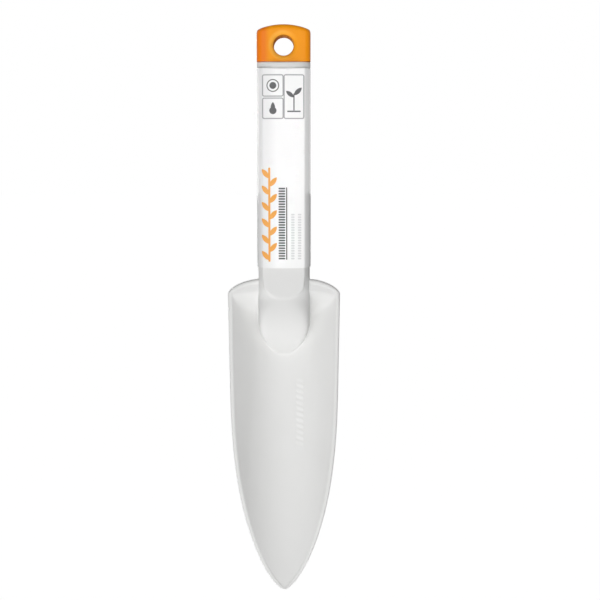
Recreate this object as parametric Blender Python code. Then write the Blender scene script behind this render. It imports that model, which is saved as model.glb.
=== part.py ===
"""Hand transplanter: a narrow plastic garden trowel with a hollow handle, an end cap and a label sleeve.

Metres, +Z up. The tool hangs upright by its hole: the origin is the centre of the hanging hole, the tip
points down, the open side of the scoop faces -Y and the width runs along X. Two helper coordinates are used
below: a station is a height above the tip, a depth is a distance in front of the handle's axis, towards -Y.
"""

import math

import bmesh
import bpy
from mathutils import Vector

MM = 0.001

# Lengths along the tool, which add up to 295 mm
BLADE_LENGTH = 166.7 * MM
HANDLE_LENGTH = 108.7 * MM
CAP_HEIGHT = 19.4 * MM

# Scoop, seen from the front
BLADE_WIDTH = 57.4 * MM
BLADE_NARROWING = 1.6 * MM
POINT_LENGTH = 109.6 * MM
POINT_ONSET = 2.44
POINT_FULLNESS = 0.648
SHOULDER_HEIGHT = 7.7 * MM
SHOULDER_FULLNESS = 1.65

# Scoop, seen from the side and across
FLOOR_BEHIND_AXIS = 12.0 * MM
TROUGH_RADIUS = 28.3 * MM
FLANK_ANGLE = math.radians(44.5)
BELLY_RISE = 6.0 * MM
BELLY_LENGTH = 105.0 * MM
WALL = 2.0 * MM
RIM_WIDTH = 2.0 * MM
END_WALL_SLOPE = 0.75
END_WALL_EASING = 0.03 / MM
END_WALL_BLEND = 4

# Neck, which sinks into the scoop as a blunt nose below the thumb facet
FACET_END_BELOW_SHOULDER = 9.6 * MM
FACET_RUNOUT = 7.3 * MM
NOSE_LENGTH = 32.3 * MM
NOSE_SWELL = 0.05
NOSE_FALL_POWER = 3.4
NOSE_TOP_SQUARENESS = 2.4
NOSE_FOOT_SQUARENESS = 5.0
NOSE_TAPER = 16.7 * MM
NOSE_TAPER_POWER = 0.62
NOSE_BURIED = 0.6 * MM

# Handle, round behind and flat in front, with a collar at its open end
HANDLE_RADIUS = 13.2 * MM
FACET_FRONT = 8.15 * MM
HANDLE_WALL = 2.6 * MM
BORE_LENGTH = 111.0 * MM
COLLAR_HEIGHT = 2.6 * MM
COLLAR_PROUD = 0.25 * MM
COLLAR_EDGE = 0.5 * MM

# End cap: a slab with round edges and a domed top, which widens at its back down to the collar
CAP_GAP = 0.3 * MM
CAP_HALF_WIDTH = 13.5 * MM
CAP_FRONT = 6.5 * MM
CAP_BACK = 6.0 * MM
CAP_BACK_SEAT = 1.5 * MM
CAP_BACK_RAMP = 7.5 * MM
CAP_SIDE_RADIUS = 3.2 * MM
CAP_DOME_RADIUS = 30.0 * MM
CAP_EDGE_RADIUS = 1.4 * MM
HOLE_RADIUS = 5.0 * MM
HOLE_FROM_TOP = 11.0 * MM
HOLE_MOUTH_RADIUS = 2.2 * MM
SPIGOT_LENGTH = 18.0 * MM
SPIGOT_CLEARANCE = 0.3 * MM
SPIGOT_WALL = 2.2 * MM

# Label sleeve
LABEL_LENGTH = 99.3 * MM
LABEL_GAP = 0.2 * MM
LABEL_THICKNESS = 0.25 * MM

# Facets
ROUND_SIDES = 56
HOLE_SIDES = 32
TROUGH_COLUMNS = 13
BLADE_ROWS = 26
END_WALL_ROWS = 9
OVERLAP = 1.0 * MM
WELD = 0.01 * MM

# Stations and widths that follow from the sizes above
HANDLE_TOP = BLADE_LENGTH + HANDLE_LENGTH
CAP_TOP = HANDLE_TOP + CAP_HEIGHT
HOLE_STATION = CAP_TOP - HOLE_FROM_TOP
CORNER_STATION = BLADE_LENGTH - SHOULDER_HEIGHT
FACET_END = BLADE_LENGTH - FACET_END_BELOW_SHOULDER
NOSE_FOOT = FACET_END - NOSE_LENGTH
COLLAR_BOTTOM = HANDLE_TOP - COLLAR_HEIGHT
POINT_START_WIDTH = BLADE_WIDTH - BLADE_NARROWING


def place(x, depth, station):
    """A point of the tool in world coordinates."""
    return Vector((x, -depth, station - HOLE_STATION))


def blade_half_width(station):
    """Half the scoop's width below its shoulders: a slow taper that closes in a pointed arch."""
    shrink = (BLADE_WIDTH - POINT_START_WIDTH) / 2 / (CORNER_STATION - POINT_LENGTH)
    taper = BLADE_WIDTH / 2 - shrink * (CORNER_STATION - min(station, CORNER_STATION))
    into_point = min(max(1 - station / POINT_LENGTH, 0), 1)
    return taper * (1 - into_point**POINT_ONSET) ** POINT_FULLNESS


def shoulder_station(x):
    """Height of the scoop's top edge at x: level beside the handle, then a round shoulder."""
    reach = max(abs(x) - HANDLE_RADIUS, 0) / (BLADE_WIDTH / 2 - HANDLE_RADIUS)
    left = max(1 - reach**SHOULDER_FULLNESS, 0)
    return CORNER_STATION + SHOULDER_HEIGHT * left ** (1 / SHOULDER_FULLNESS)


def floor_depth(station):
    """The scoop's floor line: straight below the neck, then rising in a soft curve to the tip."""
    below = max(1 - station / BELLY_LENGTH, 0)
    return -FLOOR_BEHIND_AXIS + BELLY_RISE * below**2


def trough_height(x):
    """Height of the trough's side above its floor: a round bottom that runs into straight flanks."""
    flank_start = TROUGH_RADIUS * math.sin(FLANK_ANGLE)
    in_round = min(abs(x), flank_start)
    round_height = TROUGH_RADIUS - math.sqrt(TROUGH_RADIUS**2 - in_round**2)
    return round_height + (abs(x) - in_round) * math.tan(FLANK_ANGLE)


SHOULDER_RIM_DEPTH = floor_depth(CORNER_STATION) + trough_height(BLADE_WIDTH / 2 - RIM_WIDTH)


def scoop_front(x, station):
    """Depth of the scoop's inner face and flat rim: a trough, closed by its end wall like a bowl."""
    half_width = blade_half_width(station)
    rim_inside = max(half_width - RIM_WIDTH, half_width / 2)
    trough = floor_depth(station) + trough_height(min(abs(x), rim_inside))
    slope = END_WALL_SLOPE - END_WALL_EASING * max(abs(x) - HANDLE_RADIUS, 0)
    wall_fall = max(slope * (shoulder_station(x) - RIM_WIDTH - station), WELD / 10)
    trough_fall = max(SHOULDER_RIM_DEPTH - trough, WELD / 10)
    blended = wall_fall**-END_WALL_BLEND + trough_fall**-END_WALL_BLEND
    return SHOULDER_RIM_DEPTH - blended ** (-1 / END_WALL_BLEND)


def scoop_back(x, station):
    """Depth of the scoop's outer face, a wall's thickness behind the inner one."""
    step = 0.5 * MM
    across = (scoop_front(x + step, station) - scoop_front(x - step, station)) / (2 * step)
    along = (scoop_front(x, station + step) - scoop_front(x, station - step)) / (2 * step)
    return scoop_front(x, station) - WALL * math.sqrt(1 + across**2 + along**2)


def round_depth(x, radius):
    return math.sqrt(max(radius**2 - x**2, 0))


def loft(name, rings, collection):
    """A closed body through rings of equally many points, which may shrink to a line or a point."""
    bm = bmesh.new()
    sides = len(rings[0])
    bmesh.ops.create_grid(bm, x_segments=sides, y_segments=len(rings) - 1, size=1.0)
    for index, vert in enumerate(bm.verts):
        ring, step = divmod(index, sides + 1)
        vert.co = rings[ring][step % sides]
    bmesh.ops.remove_doubles(bm, verts=bm.verts, dist=WELD)
    bmesh.ops.holes_fill(bm, edges=[edge for edge in bm.edges if edge.is_boundary])
    bmesh.ops.recalc_face_normals(bm, faces=bm.faces)
    mesh = bpy.data.meshes.new(name)
    bm.to_mesh(mesh)
    bm.free()
    mesh.shade_smooth()
    mesh.set_sharp_from_angle(angle=math.radians(35))
    obj = bpy.data.objects.new(name, mesh)
    collection.objects.link(obj)
    return obj


def boolean(obj, other, operation):
    modifier = obj.modifiers.new(other.name, "BOOLEAN")
    modifier.operation = operation
    modifier.object = other
    modifier.solver = "EXACT"


def material(name, colour, roughness):
    made = bpy.data.materials.new(name)
    made.use_nodes = True
    shader = made.node_tree.nodes["Principled BSDF"]
    shader.inputs["Base Color"].default_value = (*colour, 1.0)
    shader.inputs["Roughness"].default_value = roughness
    made.diffuse_color = (*colour, 1.0)
    return made


def round_angles(sides):
    return [2 * math.pi * step / sides for step in range(sides)]


def scoop_rings():
    """Rings round the scoop's wall, from the tip up to its top edge: first the front face, then the back."""
    end_wall_start = NOSE_FOOT / BLADE_LENGTH + 0.1
    rim_start = 1 - RIM_WIDTH / BLADE_LENGTH
    shares = [end_wall_start * (i / BLADE_ROWS) ** 1.25 for i in range(BLADE_ROWS)]
    step = (rim_start - end_wall_start) / END_WALL_ROWS
    shares += [end_wall_start + step * i for i in range(END_WALL_ROWS + 1)]
    shares.append(1.0)
    rings = []
    for share in shares:
        half_width = blade_half_width(share * CORNER_STATION)
        rim_inside = max(half_width - RIM_WIDTH, half_width / 2)
        half = [rim_inside * i / (TROUGH_COLUMNS - 1) for i in range(TROUGH_COLUMNS)] + [half_width]
        across = [-x for x in reversed(half[1:])] + half
        stretch = BLADE_WIDTH / 2 / max(half_width, WELD)
        points = [(x, share * shoulder_station(x * stretch)) for x in across]
        front = [place(x, scoop_front(x, station), station) for x, station in points]
        back = [place(x, scoop_back(x, station), station) for x, station in points]
        rings.append(front + back[::-1])
    rings.append(front + front[::-1])
    return rings


def nose_crest(station):
    """Depth of the neck's front line: the facet plane, a slight swell, then a fall that grows steeper."""
    fallen = max(FACET_END - station, 0) / NOSE_LENGTH
    curve = (1 + NOSE_SWELL) * fallen**NOSE_FALL_POWER - NOSE_SWELL * fallen
    return FACET_FRONT - (FACET_FRONT + FLOOR_BEHIND_AXIS) * curve


def ease(share):
    """A smooth step from 0 to 1 as the share goes from 0 to 1."""
    inside = min(max(share, 0), 1)
    return inside**2 * (3 - 2 * inside)


def neck_ring(station):
    """A ring of the neck: a nose that springs from the scoop's face and turns into the handle's front."""
    closing = min(max(NOSE_FOOT + NOSE_TAPER - station, 0) / NOSE_TAPER, 1)
    half_width = HANDLE_RADIUS * (1 - closing**2) ** NOSE_TAPER_POWER
    runout = min(max((station - FACET_END) / FACET_RUNOUT, 0), 1)
    roundness = (runout + ease(runout)) / 2
    flattened = ease((FACET_END - station) / (NOSE_LENGTH / 2))
    squareness = NOSE_TOP_SQUARENESS + (NOSE_FOOT_SQUARENESS - NOSE_TOP_SQUARENESS) * flattened
    spring = flattened * min(scoop_front(half_width, station) - NOSE_BURIED, 0)
    ring = []
    for angle in round_angles(ROUND_SIDES):
        x = half_width * math.sin(angle)
        if math.cos(angle) > -1e-6:
            inside = max(1 - abs(math.sin(angle)) ** squareness, 0)
            depth = spring + (nose_crest(station) - spring) * inside ** (1 / squareness)
            if station > FACET_END:
                depth += roundness * (round_depth(x, HANDLE_RADIUS) - depth)
                depth = min(depth, FACET_FRONT)
        else:
            depth = min(-round_depth(x, HANDLE_RADIUS), scoop_front(x, station) - NOSE_BURIED)
        ring.append(place(x, depth, station))
    return ring


def handle_ring(station, offset, sides):
    """A ring of the handle's section, round behind and flat in front, grown by an offset."""
    radius = HANDLE_RADIUS + offset
    flat = FACET_FRONT + offset
    return [
        place(radius * math.sin(angle), min(radius * math.cos(angle), flat), station)
        for angle in round_angles(sides)
    ]


def collar_ring(station, inset):
    """A ring of the handle's collar, whose front is an oval as deep as the facet."""
    half_width = HANDLE_RADIUS + COLLAR_PROUD - inset
    front = FACET_FRONT + COLLAR_PROUD - inset
    ring = []
    for angle in round_angles(ROUND_SIDES):
        reach = front if math.cos(angle) > 0 else half_width
        ring.append(place(half_width * math.sin(angle), reach * math.cos(angle), station))
    return ring


def handle_rings():
    """Rings from the nose's foot up to the open end of the handle."""
    rings = []
    for i in range(10):
        rings.append(neck_ring(NOSE_FOOT + NOSE_TAPER * (1 - math.cos(math.pi / 2 * i / 10))))
    nose_straight = NOSE_FOOT + NOSE_TAPER
    for i in range(6):
        rings.append(neck_ring(nose_straight + (FACET_END - nose_straight) * i / 6))
    for i in range(8):
        rings.append(neck_ring(FACET_END + FACET_RUNOUT * i / 8))
    for station in (FACET_END + FACET_RUNOUT, BLADE_LENGTH + OVERLAP, COLLAR_BOTTOM):
        rings.append(handle_ring(station, 0, ROUND_SIDES))
    rings.append(collar_ring(COLLAR_BOTTOM, 0))
    rings.append(collar_ring(HANDLE_TOP - COLLAR_EDGE, 0))
    rings.append(collar_ring(HANDLE_TOP, COLLAR_EDGE))
    return rings


def cap_ring(station, inset, thickness):
    """A ring of the cap's head; thickness 0 pinches it to a line, and its top follows the dome."""
    seat = max(station - HANDLE_TOP - CAP_BACK_SEAT, 0)
    ramp = max(1 - seat / CAP_BACK_RAMP, 0) ** 2
    back_limit = CAP_BACK + (CAP_HALF_WIDTH - CAP_BACK) * ramp
    rise = (station - HANDLE_TOP - CAP_GAP) / (CAP_HEIGHT - CAP_GAP)
    scale = 1 - inset / CAP_HALF_WIDTH
    ring = []
    for angle in round_angles(ROUND_SIDES):
        x = CAP_HALF_WIDTH * math.sin(angle)
        past_edge = max(abs(x) - (CAP_HALF_WIDTH - CAP_SIDE_RADIUS), 0)
        edge_drop = CAP_SIDE_RADIUS - round_depth(past_edge, CAP_SIDE_RADIUS)
        if math.cos(angle) > -1e-6:
            depth = (CAP_FRONT - edge_drop) * (1 - inset / CAP_FRONT)
        else:
            slab = (back_limit - edge_drop) * (1 - inset / CAP_BACK)
            depth = -min(slab, round_depth(x, CAP_HALF_WIDTH) * scale)
        drop = CAP_DOME_RADIUS - round_depth(x * scale, CAP_DOME_RADIUS)
        ring.append(place(x * scale, depth * thickness, station - rise * drop))
    return ring


def cap_rings():
    """Rings from the cap's seat up over its rounded top edge to the middle line of the dome."""
    seat_top = HANDLE_TOP + CAP_BACK_SEAT
    shoulder = CAP_TOP - CAP_EDGE_RADIUS
    rings = [cap_ring(HANDLE_TOP + CAP_GAP, 0, 1)]
    for i in range(7):
        rings.append(cap_ring(seat_top + CAP_BACK_RAMP * i / 6, 0, 1))
    for i in range(5):
        turn = math.pi / 2 * i / 4
        inset = CAP_EDGE_RADIUS * (1 - math.cos(turn))
        rings.append(cap_ring(shoulder + CAP_EDGE_RADIUS * math.sin(turn), inset, 1))
    rings.append(cap_ring(CAP_TOP, CAP_EDGE_RADIUS, 0.5))
    rings.append(cap_ring(CAP_TOP, CAP_EDGE_RADIUS, 0))
    return rings


def hole_rings():
    """Rings of the hanging hole's cutter, along the depth, with a rounded mouth at each face of the cap."""
    profile = []
    for face, outward in ((-CAP_BACK, -1), (CAP_FRONT, 1)):
        mouth = [(outward * (CAP_HALF_WIDTH + OVERLAP), HOLE_RADIUS + HOLE_MOUTH_RADIUS)]
        for i in range(6):
            turn = math.pi / 2 * i / 5
            inward = outward * HOLE_MOUTH_RADIUS * (1 - math.cos(turn))
            mouth.append((face - inward, HOLE_RADIUS + HOLE_MOUTH_RADIUS * (1 - math.sin(turn))))
        profile += mouth if outward < 0 else mouth[::-1]
    return [
        [
            place(radius * math.sin(angle), depth, HOLE_STATION + radius * math.cos(angle))
            for angle in round_angles(HOLE_SIDES)
        ]
        for depth, radius in profile
    ]


for old in list(bpy.data.objects):
    bpy.data.objects.remove(old)

tool = bpy.data.collections.new("hand_transplanter")
bpy.context.scene.collection.children.link(tool)
cutters = bpy.data.collections.new("cutters")
cutters.hide_render = True
bpy.context.scene.collection.children.link(cutters)

white_plastic = material("white_plastic", (0.76, 0.76, 0.75), 0.42)
orange_plastic = material("orange_plastic", (0.90, 0.30, 0.02), 0.35)
label_paper = material("label_paper", (0.86, 0.86, 0.86), 0.5)

# The moulding: handle and neck, joined to the scoop, with the bore cut from the open end
blade_and_handle = loft("blade_and_handle", handle_rings(), tool)
blade_and_handle.data.materials.append(white_plastic)
scoop = loft("scoop", scoop_rings(), cutters)
bore_stations = (HANDLE_TOP - BORE_LENGTH, HANDLE_TOP + OVERLAP)
bore_rings = [handle_ring(station, -HANDLE_WALL, ROUND_SIDES) for station in bore_stations]
bore = loft("bore", bore_rings, cutters)
boolean(blade_and_handle, scoop, "UNION")
boolean(blade_and_handle, bore, "DIFFERENCE")

# The end cap: a head with the hanging hole and a hollow spigot that seats in the bore
end_cap = loft("end_cap", cap_rings(), tool)
end_cap.data.materials.append(orange_plastic)
spigot_offset = -HANDLE_WALL - SPIGOT_CLEARANCE
spigot_bottom = HANDLE_TOP + CAP_GAP - SPIGOT_LENGTH
spigot_stations = (spigot_bottom, HANDLE_TOP + CAP_GAP + OVERLAP)
spigot_rings = [handle_ring(station, spigot_offset, ROUND_SIDES) for station in spigot_stations]
spigot = loft("spigot", spigot_rings, cutters)
hollow_offset = spigot_offset - SPIGOT_WALL
hollow_stations = (spigot_bottom - OVERLAP, HANDLE_TOP + CAP_GAP - SPIGOT_WALL)
hollow_rings = [handle_ring(station, hollow_offset, ROUND_SIDES) for station in hollow_stations]
hollow = loft("hollow", hollow_rings, cutters)
hole = loft("hole", hole_rings(), cutters)
boolean(end_cap, spigot, "UNION")
boolean(end_cap, hollow, "DIFFERENCE")
boolean(end_cap, hole, "DIFFERENCE")

# The label sleeve: a thin shell round the handle, just below the collar
label_top = COLLAR_BOTTOM - LABEL_GAP
label_outside = LABEL_GAP + LABEL_THICKNESS
label_path = (
    (label_top - LABEL_LENGTH, LABEL_GAP),
    (label_top - LABEL_LENGTH, label_outside),
    (label_top, label_outside),
    (label_top, LABEL_GAP),
    (label_top - LABEL_LENGTH, LABEL_GAP),
)
label_rings = [handle_ring(station, offset, ROUND_SIDES) for station, offset in label_path]
label_sleeve = loft("label_sleeve", label_rings, tool)
label_sleeve.data.materials.append(label_paper)

for cutter in cutters.objects:
    cutter.display_type = "WIRE"
    cutter.hide_render = True
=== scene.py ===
"""Hand transplanter, drawn over its CAD frame: a white one-piece moulding, a printed sleeve and an end cap.

Lengths are in millimetres until a point is placed. A station is a height above the tip, a depth is a
distance in front of the handle's axis, towards -Y. The origin is the centre of the hanging hole.
"""

import math

import bmesh
import bpy
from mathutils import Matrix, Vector


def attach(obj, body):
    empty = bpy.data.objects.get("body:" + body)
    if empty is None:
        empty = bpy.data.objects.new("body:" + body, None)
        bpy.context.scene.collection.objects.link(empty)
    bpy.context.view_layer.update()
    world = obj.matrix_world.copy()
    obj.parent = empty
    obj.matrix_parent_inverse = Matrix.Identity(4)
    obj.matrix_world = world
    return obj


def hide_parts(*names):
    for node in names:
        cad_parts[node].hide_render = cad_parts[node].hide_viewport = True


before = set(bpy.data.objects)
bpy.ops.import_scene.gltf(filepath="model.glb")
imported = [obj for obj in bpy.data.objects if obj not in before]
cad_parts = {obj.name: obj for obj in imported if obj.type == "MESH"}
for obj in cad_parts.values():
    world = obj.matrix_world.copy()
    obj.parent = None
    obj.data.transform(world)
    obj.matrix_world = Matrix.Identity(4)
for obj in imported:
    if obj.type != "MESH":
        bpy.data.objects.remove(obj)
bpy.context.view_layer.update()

# The white moulding
# One shot of glass-fibre filled plastic, satin from the tool's polish: the scoop with its closed back end,
# the blunt nose of the neck and the hollow handle with a flat for the thumb. Every edge has a small radius.

HOLE_STATION = 283.8

# Scoop, seen from the front
BLADE_LENGTH = 166.7
BLADE_HALF_WIDTH = 28.7
BLADE_TAPER = 0.0162
POINT_LENGTH = 109.6
POINT_ONSET = 2.44
POINT_FULLNESS = 0.648
SHOULDER_HEIGHT = 7.7
SHOULDER_FULLNESS = 1.65
CORNER_STATION = BLADE_LENGTH - SHOULDER_HEIGHT

# Trough, which opens out below the neck and rises to the tip
FLOOR_BEHIND_AXIS = 11.8
BELLY_RISE = 6.0
BELLY_LENGTH = 105.0
OPENING_START = 130.0
OPENING_LENGTH = 60.0
TROUGH_RADIUS = 25.0
TROUGH_RADIUS_GAIN = 3.3
ROUND_HALF_WIDTH = 16.2
ROUND_HALF_WIDTH_GAIN = 3.6
FLANK_SLOPE = 0.851
FLANK_SLOPE_GAIN = 0.13
WALL = 2.0

# Rim with its raised lip, and the end wall below the land
RIM_WIDTH = 2.0
RIM_DEPTH = 2.86
LIP_WIDTH = 1.8
LIP_HEIGHT = 0.2
LIP_FOOT = 0.6
EDGE_RADIUS = 0.9
SHOULDER_EDGE_GAIN = 0.4
SHOULDER_EDGE_START = 150.0
SHOULDER_EDGE_BLEND = 8.0
LAND_END = 157.8
LAND_END_LIFT = 0.42
END_WALL_SLOPE = 1.2
END_WALL_EASING = 0.04
END_WALL_ROUNDING = 5.0
END_WALL_BLEND = 4
LEAST_FALL = 0.001

# Neck, which sinks into the scoop as a blunt nose below the thumb facet
FACET_END = 157.1
FACET_HALF_WIDTH = 10.38
FACET_RUNOUT = 7.3
FACET_EDGE = 1.1
FACET_BLEND = 13.0
NECK_TOP = 173.0
NOSE_FOOT = 126.0
NOSE_FRONT = 7.9
NOSE_FALL = 20.15
NOSE_FALL_POWER = 3.1
NOSE_TAPER_START = 145.0
NOSE_TAPER_POWER = 0.63
NOSE_SQUARENESS = 2.5
NOSE_SQUARENESS_GAIN = 5.0
NOSE_BURIED = 0.6
NECK_BACK_END = 135.0

# Handle, round behind and flat in front, with a collar at its open end
HANDLE_RADIUS = 13.2
HANDLE_FRONT = 8.15
HANDLE_TOP = 275.4
HANDLE_WALL = 2.6
BORE_END = 164.4
COLLAR_BOTTOM = 272.8
COLLAR_PROUD = 0.25
COLLAR_LIFT = 0.7
COLLAR_LIFT_BELOW_TOP = 0.7
COLLAR_SQUARENESS = 2.6

# Points in a half row: to the neck's side, over the flank and round the edge. Over the last stations of the
# scoop one of them comes to stand on the corner of the handle's flat.
INNER_STEPS = 55
OUTER_STEPS = 29
EDGE_INSETS = (0.75, 0.5, 0.3, 0.175, 0.075, 0.025, 0.0)
CORNER_SHARE = 0.55
CORNER_LINE_START = 147.0
CORNER_LINE_BLEND = 10.0
CURVE_STEPS = 60
ROUND_HANDLE_STEPS = 120
FINE_STEPS = 40
TOUCH = 0.01
WELD = 2e-6
CREASE_ANGLE = math.radians(14)


def place(x, depth, station):
    """A point of the tool in world coordinates."""
    return Vector((x, -depth, station - HOLE_STATION)) * 0.001


def ease(share):
    """A smooth step from 0 to 1 as the share goes from 0 to 1."""
    inside = min(max(share, 0), 1)
    return inside**2 * (3 - 2 * inside)


def round_depth(x, radius):
    """How far a circle round the axis stands in front of it."""
    return math.sqrt(max(radius**2 - x**2, 0))


def soft_min(a, b, reach=0.5):
    """The lower of two depths, with their crease rounded."""
    return min(a, b) - max(reach - abs(a - b), 0) ** 2 / (4 * reach)


def blade_half_width(station):
    """A slow taper that closes in a pointed arch towards the tip."""
    taper = BLADE_HALF_WIDTH - BLADE_TAPER * (CORNER_STATION - min(station, CORNER_STATION))
    into_point = min(max(1 - station / POINT_LENGTH, 0), 1)
    return taper * (1 - into_point**POINT_ONSET) ** POINT_FULLNESS


def shoulder_station(x):
    """The scoop's top edge: level beside the handle, then a round shoulder."""
    reach = max(abs(x) - HANDLE_RADIUS, 0) / (BLADE_HALF_WIDTH - HANDLE_RADIUS)
    left = max(1 - reach**SHOULDER_FULLNESS, 0)
    return CORNER_STATION + SHOULDER_HEIGHT * left ** (1 / SHOULDER_FULLNESS)


def scoop_front(x, station):
    """The trough, the flat land along its rim and the wall that closes its back end like a bowl."""
    half_width = blade_half_width(station)
    across = min(abs(x), max(half_width - RIM_WIDTH, half_width / 2))
    opening = ease((OPENING_START - station) / OPENING_LENGTH)
    radius = TROUGH_RADIUS + TROUGH_RADIUS_GAIN * opening
    in_round = min(across, ROUND_HALF_WIDTH + ROUND_HALF_WIDTH_GAIN * opening)
    flank = (across - in_round) * (FLANK_SLOPE + FLANK_SLOPE_GAIN * opening)
    trough = BELLY_RISE * max(1 - station / BELLY_LENGTH, 0) ** 2 - FLOOR_BEHIND_AXIS
    trough += radius - math.sqrt(radius**2 - in_round**2) + flank
    trough_fall = max(RIM_DEPTH - trough, LEAST_FALL)

    steepness = END_WALL_SLOPE - END_WALL_EASING * max(abs(x) - HANDLE_RADIUS, 0)
    below_land = max(LAND_END + LAND_END_LIFT * (shoulder_station(x) - CORNER_STATION) - station, 0)
    wall_fall = steepness * below_land**2 / (below_land + END_WALL_ROUNDING) + LEAST_FALL

    inset = min(half_width - abs(x), shoulder_station(x) - station)
    lip = LIP_HEIGHT * ease((inset - LIP_WIDTH) / LIP_FOOT)
    fall = (wall_fall**-END_WALL_BLEND + trough_fall**-END_WALL_BLEND) ** (-1 / END_WALL_BLEND)
    return RIM_DEPTH - lip - fall


def scoop_back(x, station):
    """The outer face, a wall behind the inner one, measured square to it with slopes taken over 1 mm."""
    across = scoop_front(x + 0.5, station) - scoop_front(x - 0.5, station)
    along = scoop_front(x, station + 0.5) - scoop_front(x, station - 0.5)
    return scoop_front(x, station) - WALL * math.sqrt(1 + across**2 + along**2)


def edge_gain(station):
    """How much wider the front's edge radius is, and the back's narrower, along the shoulders."""
    return SHOULDER_EDGE_GAIN * ease((station - SHOULDER_EDGE_START) / SHOULDER_EDGE_BLEND)


def edge_drop(x, station, radius):
    """How far a face falls back at the moulded radius along the scoop's edge."""
    inside = min(blade_half_width(station) - abs(x), shoulder_station(x) - station)
    short = max(radius - max(inside, 0), 0)
    return radius - math.sqrt(radius**2 - short**2)


def neck_curve(station):
    """Half of the neck's front, from its middle line to its side, as points (x, depth)."""
    closing = min(max(NOSE_TAPER_START - station, 0) / (NOSE_TAPER_START - NOSE_FOOT), 1)
    half_width = HANDLE_RADIUS * (1 - closing**2) ** NOSE_TAPER_POWER
    fallen = max(FACET_END - station, 0) / (FACET_END - NOSE_FOOT)
    crest = NOSE_FRONT - NOSE_FALL * fallen**NOSE_FALL_POWER
    flattened = ease(2 * fallen)
    squareness = NOSE_SQUARENESS + NOSE_SQUARENESS_GAIN * flattened
    spring = flattened * min(scoop_front(half_width, station) - NOSE_BURIED, 0)

    above = station - FACET_END
    facet_half = FACET_HALF_WIDTH * math.sqrt(max(1 - max(1 - above / FACET_RUNOUT, 0) ** 2, 0))
    roundness = ease(above / FACET_BLEND)
    curve = []
    for step in range(CURVE_STEPS + 1):
        x = half_width * math.sin(math.pi / 2 * step / CURVE_STEPS)
        dome = max(1 - (step and x / half_width) ** squareness, 0) ** (1 / squareness)
        depth = spring + (crest - spring) * dome
        depth += roundness * (soft_min(round_depth(x, HANDLE_RADIUS), HANDLE_FRONT) - depth)
        depth += ease((facet_half - x) / FACET_EDGE + 0.5) * max(HANDLE_FRONT - depth, 0) * (above > 0)
        curve.append((x, depth))
    return curve


def evenly(points, steps, corner=0.0, keep=0.0):
    """The same path in even steps; keep=1 has one of its points where x reaches the facet's corner."""
    lengths = [0.0]
    for start, end in zip(points, points[1:]):
        lengths.append(lengths[-1] + math.dist(start, end))
    past = next((i for i, point in enumerate(points) if point[0] >= corner), 0)
    before = max(past - 1, 0)
    share = (corner - points[before][0]) / max(points[past][0] - points[before][0], 1e-9)
    to_corner = lengths[before] + share * (lengths[past] - lengths[before])
    corner_step = round(CORNER_SHARE * steps)
    path = []
    at = 0
    for step in range(steps + 1):
        target = lengths[-1] * step / steps
        kept = to_corner * step / corner_step
        if step > corner_step:
            kept = to_corner + (lengths[-1] - to_corner) * (step - corner_step) / (steps - corner_step)
        target += keep * (kept - target)
        while at < len(points) - 2 and lengths[at + 1] < target:
            at += 1
        share = (target - lengths[at]) / max(lengths[at + 1] - lengths[at], 1e-9)
        path.append([a + share * (b - a) for a, b in zip(points[at], points[at + 1])])
    return path


def scoop_side(share, depth_of, neck):
    """One face of a row across the scoop, from its middle to its edge: points (x, depth, station)."""
    half_width = blade_half_width(share * CORNER_STATION)
    rim_inside = max(half_width - RIM_WIDTH, half_width / 2)
    seam = min(HANDLE_RADIUS, 0.5 * rim_inside)

    def station_at(x):
        return share * shoulder_station(x * BLADE_HALF_WIDTH / max(half_width, 0.01))

    inner = []
    for x, depth in neck:
        shows = x < HANDLE_RADIUS - TOUCH or not inner or depth > depth_of(x, station_at(x)) + TOUCH
        if x <= seam and shows:
            inner.append((x, max(depth, depth_of(x, station_at(x))), station_at(x)))
    reached = inner[-1][0] if inner else 0
    for step in range(1 if inner else 0, FINE_STEPS + 1):
        x = reached + (seam - reached) * step / FINE_STEPS
        inner.append((x, depth_of(x, station_at(x)), station_at(x)))
    outer = []
    for step in range(FINE_STEPS + 1):
        x = seam + (rim_inside - seam) * step / FINE_STEPS
        outer.append((x, depth_of(x, station_at(x)), station_at(x)))

    keep = min(max(share * BLADE_LENGTH - CORNER_LINE_START, 0) / CORNER_LINE_BLEND, 1)
    side = evenly(inner, INNER_STEPS, FACET_HALF_WIDTH, keep) + evenly(outer, OUTER_STEPS)[1:]
    for inset in EDGE_INSETS:
        x = half_width - inset * (half_width - rim_inside)
        side.append([x, depth_of(x, station_at(x)), station_at(x)])
    return side


def both_sides(side):
    """A row from its left edge to its right edge."""
    return [(-x, depth, station) for x, depth, station in side[:0:-1]] + [tuple(point) for point in side]


def scoop_row(share):
    """The front, with the neck, and the back of a row across the scoop."""
    station = share * BLADE_LENGTH
    neck = neck_curve(station) if station > NOSE_FOOT else []
    front = []
    for x, depth, s in scoop_side(share, scoop_front, neck):
        drop = edge_drop(x, s, EDGE_RADIUS + edge_gain(s)) if x > HANDLE_RADIUS else 0
        front.append((x, depth - drop, s))

    def back_of(x, s):
        behind = scoop_back(x, s)
        if x > HANDLE_RADIUS:
            return behind + edge_drop(x, s, EDGE_RADIUS - edge_gain(s))
        return min(behind, -round_depth(x, HANDLE_RADIUS)) if s > NECK_BACK_END else behind

    return both_sides(front), both_sides(scoop_side(share, back_of, []))


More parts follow.
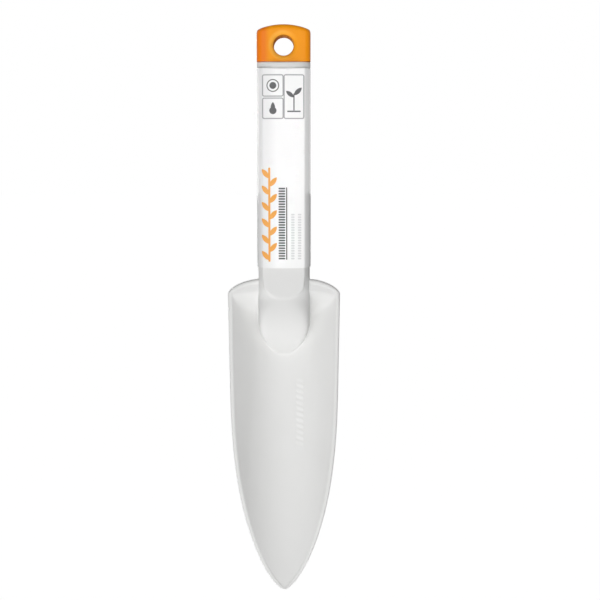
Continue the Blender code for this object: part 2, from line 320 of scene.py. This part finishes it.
def handle_row(station, offset, collar):
    """A row round the handle, flat in front and round behind.

    The collar's front is a shallow oval, and its top edge rises from there to the back.
    """
    radius = HANDLE_RADIUS + offset
    flat = HANDLE_FRONT + offset
    lift = COLLAR_LIFT * (station > HANDLE_TOP - COLLAR_LIFT_BELOW_TOP)
    front = []
    back = []
    for step in range(ROUND_HANDLE_STEPS + 1):
        turn = math.pi / 2 * step / ROUND_HANDLE_STEPS
        x = radius * math.sin(turn)
        depth = soft_min(radius * math.cos(turn), flat)
        oval = flat * (1 - math.sin(turn) ** COLLAR_SQUARENESS) ** (1 / COLLAR_SQUARENESS)
        depth += collar * (oval - depth)
        front.append((x, depth, station + lift * (1 - math.cos(turn))))
        back.append((x, -radius * math.cos(turn), station + lift))
    if offset == 0 and station < NECK_TOP:
        front = [(x, depth, station) for x, depth in neck_curve(station)]
    corner = math.sqrt(radius**2 - flat**2)
    front, back = [both_sides(evenly(side, INNER_STEPS, corner, 1)) for side in (front, back)]
    return front, back


def lay_rows(bm, rows):
    """A tube of faces through rows of points, welded along its seam."""
    rings = [front + back[::-1] for front, back in rows]
    sides = len(rings[0])
    made = bmesh.ops.create_grid(bm, x_segments=sides, y_segments=len(rings) - 1, size=1.0)
    for index, vert in enumerate(made["verts"]):
        ring, step = divmod(index, sides + 1)
        vert.co = place(*rings[ring][step % sides])


def close(bm):
    """Welds rows that meet and fills the openings left at the ends."""
    bmesh.ops.remove_doubles(bm, verts=bm.verts, dist=WELD)
    bmesh.ops.holes_fill(bm, edges=[edge for edge in bm.edges if edge.is_boundary])


def piece(name, bm, material):
    """A smooth object from the mesh, in the scene."""
    bmesh.ops.recalc_face_normals(bm, faces=bm.faces)
    mesh = bpy.data.meshes.new(name)
    bm.to_mesh(mesh)
    bm.free()
    mesh.shade_smooth()
    mesh.materials.append(material)
    obj = bpy.data.objects.new(name, mesh)
    bpy.context.scene.collection.objects.link(obj)
    return obj


# Rows from the tip up, as shares of the scoop's length: close at the tip, at the nose and at the shoulders
shares = [0, 0.0008, 0.0025, 0.006, 0.011, 0.017, 0.024]
shares += [0.032 + 0.008 * step for step in range(88)]
shares += [0.735 + 0.0035 * step for step in range(59)]
shares += [0.94 + 0.0018 * step for step in range(31)]
shares += [1 - inset / BLADE_LENGTH for inset in (0.6, 0.35, 0.15, 0.05, 0)]
rows = [scoop_row(share) for share in shares]

# The scoop's top edge closes front to back, apart from the stretch that the handle stands on
top_front, top_back = rows[-1]
middle = len(top_front) // 2
first = middle - INNER_STEPS
last = middle + INNER_STEPS
zipped = [top_back[i] if first < i < last else point for i, point in enumerate(top_front)]
rows.append((top_front, zipped))

# The handle, as (station, offset, collar): its outside, the rounded collar, and down the bore to its end
handle_path = [(station, 0, 0) for station in (167.2, 168, 169, 170, 171, 173.5, 205, 240, COLLAR_BOTTOM)]
handle_path += [(COLLAR_BOTTOM + 0.3, COLLAR_PROUD - 0.03, 1), (COLLAR_BOTTOM + 0.5, COLLAR_PROUD, 1)]
handle_path += [(HANDLE_TOP - 0.6, COLLAR_PROUD, 1), (HANDLE_TOP - 0.2, 0.1, 1), (HANDLE_TOP, -0.3, 1)]
handle_path += [(HANDLE_TOP, 0.3 - HANDLE_WALL, 0), (HANDLE_TOP - 0.4, -HANDLE_WALL, 0)]
handle_path += [(BORE_END + 0.5, -HANDLE_WALL, 0), (BORE_END, -HANDLE_WALL - 0.6, 0)]
handle_rows = [(top_front[first : last + 1], zipped[first : last + 1])]
handle_rows += [handle_row(*stage) for stage in handle_path]

moulding_mesh = bmesh.new()
lay_rows(moulding_mesh, rows)
lay_rows(moulding_mesh, handle_rows)
close(moulding_mesh)
bmesh.ops.recalc_face_normals(moulding_mesh, faces=moulding_mesh.faces)


def soften(bm, low, high, rounds, grow):
    """Rounds the hollow crease round the neck between two stations by smoothing the mesh beside it."""
    chosen = set()
    for edge in bm.edges:
        x, _, z = edge.verts[0].co * 1000
        if len(edge.link_faces) == 2 and low < z + HOLE_STATION < high and abs(x) < HANDLE_RADIUS + 0.4:
            if edge.calc_face_angle_signed(0.0) < -CREASE_ANGLE:
                chosen.update(edge.verts)
    for _ in range(grow):
        chosen.update([edge.other_vert(vert) for vert in list(chosen) for edge in vert.link_edges])
    for _ in range(rounds):
        bmesh.ops.smooth_vert(
            bm, verts=list(chosen), factor=0.5, use_axis_x=True, use_axis_y=True, use_axis_z=True
        )


# A wide fillet where the neck meets the end wall, a small one all round the nose
soften(moulding_mesh, 146, 160, rounds=14, grow=4)
soften(moulding_mesh, 113.8, 172.3, rounds=4, grow=2)


class Shade:
    """A shader value; Python's arithmetic on it adds Math nodes."""

    def __init__(self, tree, socket):
        self.tree = tree
        self.socket = socket

    def node(self, kind, inputs, output=0, **settings):
        """Any other node, with its settings, its inputs by name and the output to go on with."""
        made = self.tree.nodes.new(kind)
        for name, value in settings.items():
            setattr(made, name, value)
        for name, value in inputs.items():
            if isinstance(value, Shade):
                self.tree.links.new(value.socket, made.inputs[name])
            else:
                made.inputs[name].default_value = value
        return Shade(self.tree, made.outputs[output])

    def feed(self, shader, name):
        """Links the value to one of a shader's inputs."""
        self.tree.links.new(self.socket, shader.inputs[name])

    def math(self, operation, *others):
        """A Math node on this value and the others."""
        return self.node("ShaderNodeMath", dict(enumerate((self, *others))), operation=operation)

    def __add__(self, other):
        return self.math("ADD", other)

    def __sub__(self, other):
        return self.math("SUBTRACT", other)

    def __mul__(self, other):
        return self.math("MULTIPLY", other)

    def __truediv__(self, other):
        return self.math("DIVIDE", other)

    def __radd__(self, other):
        return self.math("ADD", other)

    def __rmul__(self, other):
        return self.math("MULTIPLY", other)

    def __rsub__(self, other):
        return self.math("MULTIPLY", -1.0).math("ADD", other)

    def __rtruediv__(self, other):
        return self.math("POWER", -1.0).math("MULTIPLY", other)

    def __abs__(self):
        return self.math("ABSOLUTE")

    def min(self, other):
        return self.math("MINIMUM", other)

    def max(self, other):
        return self.math("MAXIMUM", other)

    def clamp(self):
        """The value kept between 0 and 1."""
        return self.max(0).min(1)

    def mix(self, low, high):
        """A colour between low, at 0, and high, at 1."""
        inputs = {0: self, 6: low, 7: high}
        return self.node("ShaderNodeMix", inputs, output=2, data_type="RGBA")


def new_material(name, specular):
    """A Principled material, its shader node and a Shade for Object coordinates."""
    made = bpy.data.materials.new(name)
    made.use_nodes = True
    tree = made.node_tree
    shader = tree.nodes["Principled BSDF"]
    shader.inputs["Specular IOR Level"].default_value = specular
    coordinates = tree.nodes.new("ShaderNodeTexCoord")
    return made, shader, Shade(tree, coordinates.outputs["Object"])


def tool_coordinates(at):
    """A Shade each for x, depth and station, in millimetres."""
    axes = at.tree.nodes.new("ShaderNodeSeparateXYZ")
    at.tree.links.new(at.socket, axes.inputs[0])
    x, y, z = [Shade(at.tree, axis) for axis in axes.outputs]
    return x * 1000, y * -1000, z * 1000 + HOLE_STATION


# Slanting ribs on the trough, faint and to the right of its middle
RIBS_X = 8.1
RIBS_HALF_WIDTH = 2.0
RIBS_STATION = 94.5
RIBS_HALF_LENGTH = 20.0
RIBS_PITCH = 3.1
RIBS_SLANT = 0.3
RIBS_BEHIND_AXIS = 11.6
RIBS_SIDE_FADE = 0.3
RIBS_END_FADE = 5.0
RIBS_DEPTH_FADE = 0.4

white, white_shader, at = new_material("white_moulding", 0.15)
x, depth, station = tool_coordinates(at)
ribs = ((RIBS_HALF_WIDTH - abs(x - RIBS_X)) / RIBS_SIDE_FADE).clamp()
ribs = ribs * ((RIBS_HALF_LENGTH - abs(station - RIBS_STATION)) / RIBS_END_FADE).clamp()
ribs = ribs * ((depth + RIBS_BEHIND_AXIS) / RIBS_DEPTH_FADE).clamp()
wave = ((station + RIBS_SLANT * x) * (2 * math.pi / RIBS_PITCH)).math("SINE")
flow = at.node("ShaderNodeTexNoise", {"Vector": at, "Scale": 60.0, "Detail": 3.0})
grain = at.node("ShaderNodeTexNoise", {"Vector": at, "Scale": 1800.0, "Detail": 2.0})
tone = flow.mix((0.745, 0.745, 0.735, 1), (0.775, 0.775, 0.768, 1))
# Paler where the ribs run: a painted highlight for their glints; the ribs themselves are the bump below
tone = (ribs * 0.35).mix(tone, (0.84, 0.84, 0.83, 1))
tone.feed(white_shader, "Base Color")
(0.46 + flow * 0.08).feed(white_shader, "Roughness")
bump = at.node("ShaderNodeBump", {"Height": grain, "Strength": 0.12, "Distance": 0.00004})
bump = at.node("ShaderNodeBump", {"Height": ribs * wave, "Distance": 0.00009, "Normal": bump})
bump.feed(white_shader, "Normal")

moulding = piece("moulding", moulding_mesh, white)
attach(moulding, "root")
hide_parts("blade_and_handle")

# The label sleeve
# A coated paper band, glued round the handle below the collar and lapped along the back. Its print is
# generic: three framed pictures, a leafy vine and columns of short strokes.

SLEEVE_BOTTOM = 173.3
SLEEVE_TOP = 272.6
SLEEVE_INSIDE = 0.2
SLEEVE_OUTSIDE = 0.45
SLEEVE_BOW = 0.5
SLEEVE_BOW_HALF_WIDTH = 10.8
SLEEVE_DIP = 0.6
LAP_HEIGHT = 0.12
LAP_HALF_SHARE = 0.04
SLEEVE_SIDES = 240

# Places of the print as (x, station), and its repeats
PLANT = (5.2, 258.2)
SUN = (-5.3, 263.7)
DROP = (-5.3, 252.5)
FRAME_CORNER = 0.8
FRAME_LINE = 0.27
VINE = (-7.2, 199.6)
VINE_LEAVES = 11
LEAF_PITCH = 4.1
PRINT_BOTTOM = 177.0
STROKE_RADIUS = 0.42
STROKE_PITCH = 1.3


def sleeve_ring(station, offset):
    """A ring of the sleeve, which bows over the handle's flat front, with a lap raised at the back."""
    ring = []
    for step in range(SLEEVE_SIDES):
        turn = 2 * math.pi * step / SLEEVE_SIDES
        lapped = offset == SLEEVE_OUTSIDE and abs(step / SLEEVE_SIDES - 0.5) < LAP_HALF_SHARE
        lap = LAP_HEIGHT if lapped else 0.0
        radius = HANDLE_RADIUS + offset + lap
        x = radius * math.sin(turn)
        bow = SLEEVE_BOW * max(1 - (x / SLEEVE_BOW_HALF_WIDTH) ** 2, 0)
        at_an_end = station in (SLEEVE_BOTTOM, SLEEVE_TOP)
        dip = SLEEVE_DIP * math.cos(turn) if at_an_end and math.cos(turn) > 0 else 0.0
        depth = soft_min(radius * math.cos(turn), HANDLE_FRONT + offset + bow, 0.4)
        ring.append((x, depth, station - dip))
    return ring


sleeve_mesh = bmesh.new()
sleeve_path = [(SLEEVE_BOTTOM, SLEEVE_INSIDE)]
sleeve_path += [(station, SLEEVE_OUTSIDE) for station in (SLEEVE_BOTTOM, 205, 240, SLEEVE_TOP)]
sleeve_path += [(SLEEVE_TOP, SLEEVE_INSIDE), (SLEEVE_BOTTOM, SLEEVE_INSIDE)]
lay_rows(sleeve_mesh, [(sleeve_ring(station, offset), []) for station, offset in sleeve_path])
bmesh.ops.remove_doubles(sleeve_mesh, verts=sleeve_mesh.verts, dist=WELD)

paper, paper_shader, at = new_material("label_print", 0.5)
paper_shader.inputs["Coat IOR"].default_value = 1.9
across, depth, station = tool_coordinates(at)


def rounded_box(middle, half_size, corner):
    """Distance from a box with round corners, below 0 inside it."""
    x = abs(across - middle[0]) - (half_size[0] - corner)
    z = abs(station - middle[1]) - (half_size[1] - corner)
    outside = (x.max(0) * x.max(0) + z.max(0) * z.max(0)).math("SQRT")
    return outside + x.max(z).min(0) - corner


def disc(middle, radius):
    """Distance from a disc."""
    x = across - middle[0]
    z = station - middle[1]
    return (x * x + z * z).math("SQRT") - radius


def leaf(base, lean, length):
    """Distance from a pointed leaf: where two equal discs overlap."""
    radius = length * 0.72
    middle = (base[0] + length / 2 * math.sin(lean), base[1] + length / 2 * math.cos(lean))
    apart = math.sqrt(radius**2 - (length / 2) ** 2)
    left = (middle[0] - apart * math.cos(lean), middle[1] + apart * math.sin(lean))
    right = (middle[0] + apart * math.cos(lean), middle[1] - apart * math.sin(lean))
    return disc(left, radius).max(disc(right, radius))


def strokes(middle, half_width, low, high):
    """Distance from a column of short round-ended strokes between two stations."""
    x = (abs(across - middle) - (half_width - STROKE_RADIUS)).max(0)
    z = (station - low).math("MODULO", STROKE_PITCH) - STROKE_PITCH / 2
    inside = (x * x + z * z).math("SQRT") - STROKE_RADIUS
    return inside.max(abs(station - (low + high) / 2) - (high - low) / 2)


def ink(distance, softness=0.07):
    """1 inside the shape, 0 outside, with a soft printed edge."""
    return (0.5 - distance / (2 * softness)).clamp()


frame_lines = ink(abs(rounded_box(PLANT, (4.9, 10.7), FRAME_CORNER)) - FRAME_LINE)
frame_lines = frame_lines.max(ink(abs(rounded_box(SUN, (5.1, 5.2), FRAME_CORNER)) - FRAME_LINE))
frame_lines = frame_lines.max(ink(abs(rounded_box(DROP, (5.1, 5.0), FRAME_CORNER)) - FRAME_LINE))

sprout = leaf((PLANT[0], PLANT[1] - 0.3), -0.9, 5.0).min(leaf((PLANT[0], PLANT[1] + 0.7), 0.8, 5.4))
sprout = sprout.min(rounded_box((PLANT[0], PLANT[1] - 2.6), (0.3, 4.2), 0.2))
sprout = sprout.min(rounded_box((PLANT[0], PLANT[1] - 7.2), (3.4, 0.35), 0.3))
sun_sign = disc(SUN, 1.7).min(abs(disc(SUN, 2.9)) - 0.25)
drop_sign = disc((DROP[0], DROP[1] - 1.1), 1.8).min(leaf((DROP[0], DROP[1] - 2.5), 0.0, 5.6))
pictures = ink(sprout).max(ink(sun_sign)).max(ink(drop_sign))

vine = rounded_box(VINE, (0.55, 23.6), 0.5)
for step in range(VINE_LEAVES):
    lean = 0.68 if step % 2 else -0.68
    vine = vine.min(leaf((VINE[0], PRINT_BOTTOM - 0.2 + LEAF_PITCH * step), lean, 6.0))
vine_ink = ink(vine)

black_strokes = strokes(-0.9, 1.7, PRINT_BOTTOM, 213.4)
black_ink = ink(black_strokes.min(rounded_box((1.5, 195.2), (0.3, 18.2), 0.3)))
grey_ink = ink(strokes(4.6, 0.9, PRINT_BOTTOM, 200.4)).max(ink(strokes(8.0, 0.9, PRINT_BOTTOM, 200.4)))

# White paper with painted shade greying it towards the left edge of the front, white to the right of that,
# and painted light brightening the two sides, the right one most; the coat shines most on the two sides
on_front = ink(-1 * depth + 6.0)
paper_with_painted_light = ((across + 10.7) / 7.2).clamp().mix((0.80, 0.80, 0.805, 1), (0.945, 0.945, 0.945, 1))
paper_with_painted_light = ((-1 * across - 10.5) / 0.6).clamp().mix(paper_with_painted_light, (0.95, 0.95, 0.95, 1))
paper_with_painted_light = ((across - 10.5) / 0.6).clamp().mix(paper_with_painted_light, (0.99, 0.99, 0.99, 1))
colour = (frame_lines * on_front).mix(paper_with_painted_light, (0.30, 0.30, 0.31, 1))
colour = (pictures * on_front).mix(colour, (0.06, 0.06, 0.065, 1))
colour = (vine_ink * on_front).mix(colour, (0.86, 0.36, 0.03, 1))
colour = (black_ink * on_front).mix(colour, (0.03, 0.03, 0.033, 1))
colour = (grey_ink * on_front * 0.6).mix(colour, (0.55, 0.55, 0.56, 1))
colour.feed(paper_shader, "Base Color")
(0.3 + ((abs(across) - 10.2) / 1.2).clamp() * 0.7).feed(paper_shader, "Coat Weight")

sleeve = piece("printed_sleeve", sleeve_mesh, paper)
sleeve.data.set_sharp_from_angle(angle=math.radians(50))
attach(sleeve, "root")
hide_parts("label_sleeve")

# The end cap
# An orange plug moulded in one piece: a flattened head with a domed top and a round-mouthed hanging hole.
# Its spigot, which is pressed into the handle, is hidden there and left to the solids.

CAP_BOTTOM = 275.45
CAP_TOP = 294.1
CAP_HALF_WIDTH = 13.5
CAP_FRONT = 6.5
CAP_BACK = 6.0
CAP_SIDE_RADIUS = 3.2
RAMP_START = 276.9
RAMP_HEIGHT = 7.5
RAMP_DEPTH = 7.5
DOME_RADIUS = 34.0
TOP_EDGE_HEIGHT = 2.3
TOP_EDGE_WIDTH = 1.8
FOOT_LIFT = 0.7
HOLE_RADIUS = 5.0
MOUTH_RADIUS = 2.3
CAP_SIDES = 200
HOLE_SIDES = 72
ROUND_STEPS = 12


def cap_ring(station, inset, thickness):
    """A ring of the cap's head; thickness 0 pinches it to a line.

    Its back ramps in from the handle's round, its top follows the dome and its foot the collar.
    """
    ramp = max(1 - max(station - RAMP_START, 0) / RAMP_HEIGHT, 0) ** 2
    back_limit = CAP_BACK + RAMP_DEPTH * ramp
    rise = max(station - RAMP_START, 0) / (CAP_TOP - RAMP_START)
    scale = 1 - inset / CAP_HALF_WIDTH * 0.4
    ring = []
    for step in range(CAP_SIDES):
        turn = 2 * math.pi * step / CAP_SIDES
        x = CAP_HALF_WIDTH * math.sin(turn)
        past_flat = max(abs(x) - (CAP_HALF_WIDTH - CAP_SIDE_RADIUS), 0)
        corner_drop = CAP_SIDE_RADIUS - round_depth(past_flat, CAP_SIDE_RADIUS)
        depth = (CAP_FRONT - corner_drop) * (1 - inset / CAP_FRONT)
        if math.cos(turn) < -1e-6:
            behind = (back_limit - corner_drop) * (1 - inset / CAP_BACK)
            depth = -min(behind, round_depth(x, CAP_HALF_WIDTH) * scale)
        dome = rise * (DOME_RADIUS - round_depth(x * scale, DOME_RADIUS))
        foot = (1 - min(rise * 4, 1)) * FOOT_LIFT * (1 - max(math.cos(turn), 0))
        ring.append((x * scale, depth * thickness, station + foot - dome))
    return ring


# As (station, inset, thickness): a small radius at the foot, the sides, the rounded top edge, and the top
# drawn in to its middle line
cap_stages = [(CAP_BOTTOM, 0.12, 1), (275.5, 0.04, 1), (275.65, 0, 1), (276.4, 0, 1)]
cap_stages += [(RAMP_START + 0.5 * step, 0, 1) for step in range(30)]
for step in range(ROUND_STEPS + 1):
    turn = math.pi / 2 * step / ROUND_STEPS
    height = CAP_TOP - TOP_EDGE_HEIGHT + TOP_EDGE_HEIGHT * math.sin(turn)
    cap_stages.append((height, TOP_EDGE_WIDTH * (1 - math.cos(turn)), 1))
cap_stages += [(CAP_TOP, TOP_EDGE_WIDTH, thickness) for thickness in (0.9, 0.7, 0.45, 0.2, 0)]
cap_mesh = bmesh.new()
lay_rows(cap_mesh, [(cap_ring(*stage), []) for stage in cap_stages])
close(cap_mesh)

# Mottled orange, with painted shade deepening it towards the sides, the left most, a painted highlight
# paling the hole's mouth, mostly on its left, and painted shade darkening its bore, which is also rougher
orange, orange_shader, at = new_material("orange_cap", 0.12)
x, _, station = tool_coordinates(at)
z = station - HOLE_STATION
# Painted shade on the two sides, deeper and reaching further in on the left
left_painted_shade = ((-1 * x - 7) / 2.5).clamp()
right_painted_shade = ((x - 8) / 5).clamp()
from_hole = (x * x + z * z).math("SQRT")
# A painted highlight round the hole's mouth, fading out towards the right
mouth_painted_highlight = ((7.9 - from_hole) / 1.6).clamp() * ((9 - x) / 11).clamp()
# Painted shade inside the bore, which is also made rougher there
bore_shade_and_roughness = ((5.3 - from_hole) / 0.2).clamp()
mottle = at.node("ShaderNodeTexNoise", {"Vector": at, "Scale": 110.0, "Detail": 2.0})
tone = mottle.mix((0.93, 0.325, 0.004, 1), (0.98, 0.35, 0.006, 1))
tone = left_painted_shade.max(right_painted_shade * 0.3).mix(tone, (0.89, 0.215, 0.010, 1))
tone = mouth_painted_highlight.mix(tone, (1.0, 0.47, 0.06, 1))
tone = bore_shade_and_roughness.mix(tone, (0.60, 0.22, 0.012, 1))
tone.feed(orange_shader, "Base Color")
(0.30 + mottle * 0.08 + bore_shade_and_roughness * 0.6).feed(orange_shader, "Roughness")
cap = piece("cap_head", cap_mesh, orange)


def hole_ring(depth, radius):
    """A ring of the cutter round the hole's axis."""
    turns = [2 * math.pi * step / HOLE_SIDES for step in range(HOLE_SIDES)]
    return [(radius * math.sin(turn), depth, HOLE_STATION + radius * math.cos(turn)) for turn in turns]


# A straight bore from the back, which flares into the rounded mouth at the front
cutter_rows = [(-15, HOLE_RADIUS)]
for step in range(ROUND_STEPS + 1):
    turn = math.pi / 2 * step / ROUND_STEPS
    depth = CAP_FRONT - MOUTH_RADIUS + MOUTH_RADIUS * math.sin(turn)
    cutter_rows.append((depth, HOLE_RADIUS + MOUTH_RADIUS - MOUTH_RADIUS * math.cos(turn)))
cutter_rows.append((15, HOLE_RADIUS + MOUTH_RADIUS))
cutter_mesh = bmesh.new()
lay_rows(cutter_mesh, [(hole_ring(depth, radius), []) for depth, radius in cutter_rows])
close(cutter_mesh)
cutter = piece("hole_cutter", cutter_mesh, orange)
cut = cap.modifiers.new("hole", "BOOLEAN")
cut.operation = "DIFFERENCE"
cut.object = cutter
cut.solver = "EXACT"
cut_cap = bpy.data.meshes.new_from_object(cap.evaluated_get(bpy.context.evaluated_depsgraph_get()))
cap.modifiers.clear()
cap.data = cut_cap
bpy.data.objects.remove(cutter)
cut_cap.shade_smooth()
cut_cap.set_sharp_from_angle(angle=math.radians(32))
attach(cap, "root")
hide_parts("end_cap")

# The studio
# A pale floor well below the hanging tool, a soft lamp from the front and slightly below, one from the
# lower left, one behind, and an even glow all round. The floor lets the low lamps through, since a real
# table would be further down, and both it and the surround look white to the camera.

FLOOR_BELOW_HOLE = 0.40
FLOOR_HALF_SIZE = 40.0
FLOOR_LIFT = 0.8
LAMP_SPREAD = math.radians(50)

floor_mesh = bmesh.new()
bmesh.ops.create_grid(floor_mesh, x_segments=1, y_segments=1, size=FLOOR_HALF_SIZE)
bmesh.ops.translate(floor_mesh, verts=floor_mesh.verts, vec=(0, 0, -FLOOR_BELOW_HOLE))
pale, pale_shader, at = new_material("pale_floor", 0.0)
pale_shader.inputs["Base Color"].default_value = (0.8, 0.8, 0.8, 1)
seen = at.node("ShaderNodeLightPath", {}, output="Is Camera Ray")
lift = seen.mix((0, 0, 0, 1), (FLOOR_LIFT, FLOOR_LIFT, FLOOR_LIFT, 1))
lift.feed(pale_shader, "Emission Color")
pale_shader.inputs["Emission Strength"].default_value = 1.0
floor = piece("floor", floor_mesh, pale)
floor.visible_shadow = False


def sun(name, towards, strength):
    """A soft lamp whose light travels in the given direction."""
    lamp = bpy.data.lights.new(name, "SUN")
    lamp.energy = strength
    lamp.angle = LAMP_SPREAD
    lamp.cycles.use_multiple_importance_sampling = False
    obj = bpy.data.objects.new(name, lamp)
    obj.rotation_mode = "QUATERNION"
    obj.rotation_quaternion = Vector(towards).to_track_quat("-Z", "Y")
    bpy.context.scene.collection.objects.link(obj)


sun("front", (0.0, 0.98, 0.17), 1.84)
sun("left", (0.4, 0.42, 0.81), 1.2)
sun("back", (0.2, -0.98, 0.05), 2.0)

world = bpy.data.worlds.new("surround")
bpy.context.scene.world = world
world.use_nodes = True
backdrop = world.node_tree.nodes["Background"]
path = world.node_tree.nodes.new("ShaderNodeLightPath")
camera_ray, glossy_ray, clear_ray = [
    Shade(world.node_tree, path.outputs[name])
    for name in ("Is Camera Ray", "Is Glossy Ray", "Is Transmission Ray")
]
glow = camera_ray.max(glossy_ray).max(clear_ray).mix((0.19, 0.19, 0.19, 1), (1, 1, 1, 1))
glow.feed(backdrop, "Color")
backdrop.inputs["Strength"].default_value = 1.0

# The camera
# It stands level with the middle of the handle and looks down by a few degrees, as in the photograph.

CAMERA_TILT = math.radians(5.8)
CAMERA_DISTANCE = 0.58
CAMERA_AIM = Vector((0.0082, 0, -0.12807))

camera_data = bpy.data.cameras.new("camera")
camera_data.lens = 67.7
camera_data.sensor_width = 36
camera = bpy.data.objects.new("camera", camera_data)
bpy.context.scene.collection.objects.link(camera)
bpy.context.scene.camera = camera
backwards = Vector((0, -math.cos(CAMERA_TILT), math.sin(CAMERA_TILT)))
camera.location = CAMERA_AIM + backwards * CAMERA_DISTANCE
camera.rotation_mode = "QUATERNION"
camera.rotation_quaternion = (CAMERA_AIM - camera.location).to_track_quat("-Z", "Y")

bpy.context.scene.view_settings.view_transform = "Standard"
